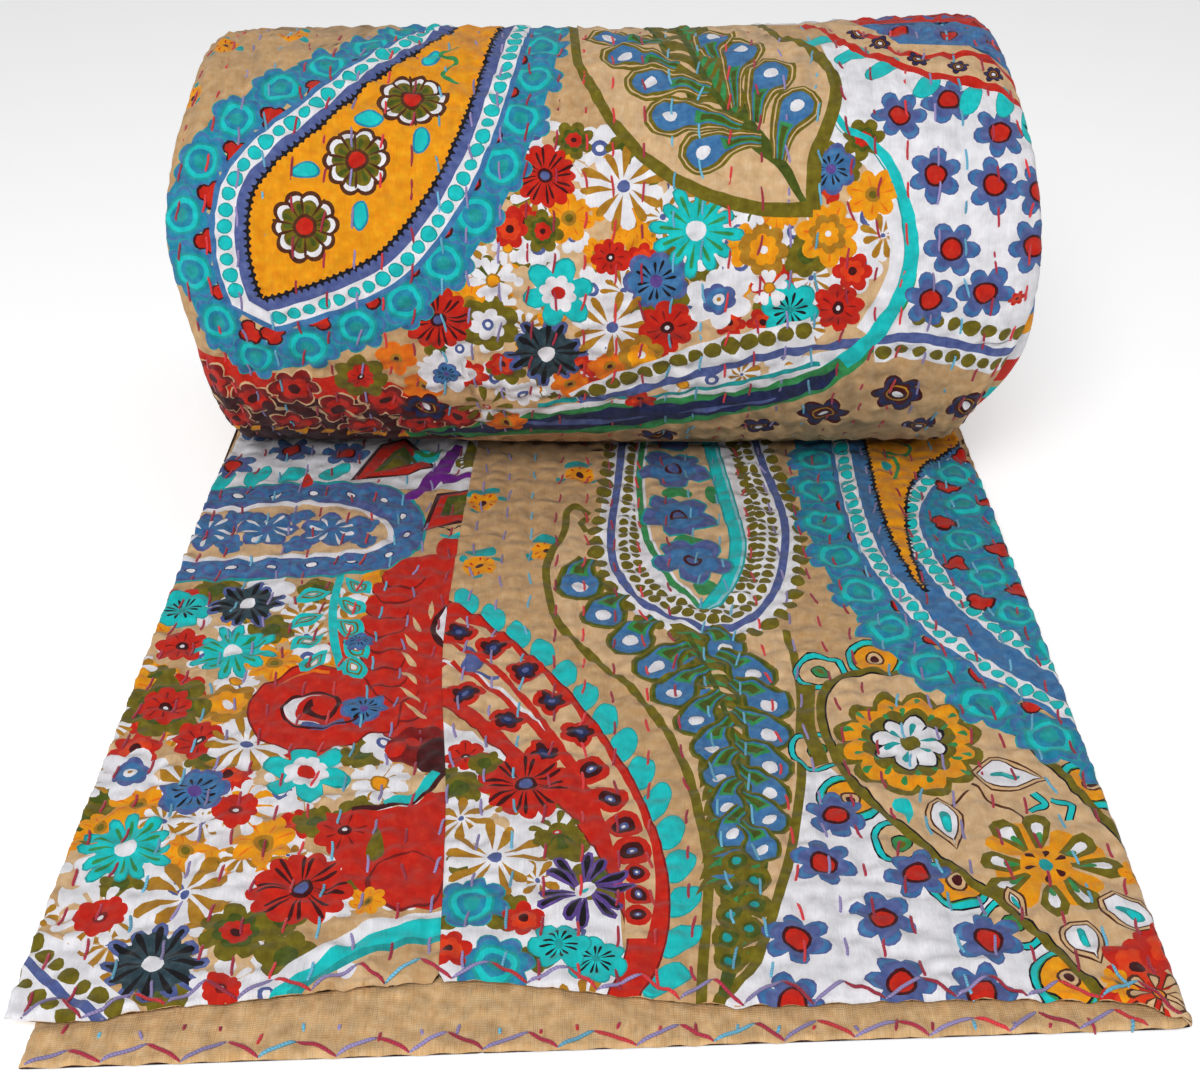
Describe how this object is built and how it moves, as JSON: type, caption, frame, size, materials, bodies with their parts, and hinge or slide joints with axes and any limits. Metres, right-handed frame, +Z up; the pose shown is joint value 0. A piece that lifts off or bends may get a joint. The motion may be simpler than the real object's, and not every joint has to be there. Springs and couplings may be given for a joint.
{
  "type": "kantha quilt",
  "caption": "Quilted cotton bed cover, folded lengthwise and rolled from its far end, its free end lying flat in front of the roll.",
  "frame": {"origin": "on the surface that the quilt lies on, under the middle of its box", "axes": "+Z up, +Y from the free end towards the roll, +X along the roll towards the folded edge"},
  "size_m": [0.4068, 0.5536, 0.2226],
  "materials": {
    "printed_cotton": "matt printed cotton, puckered between rows of running stitches"
  },
  "bodies": {
    "root": {"quilt": "printed_cotton"}
  },
  "joints": []
}
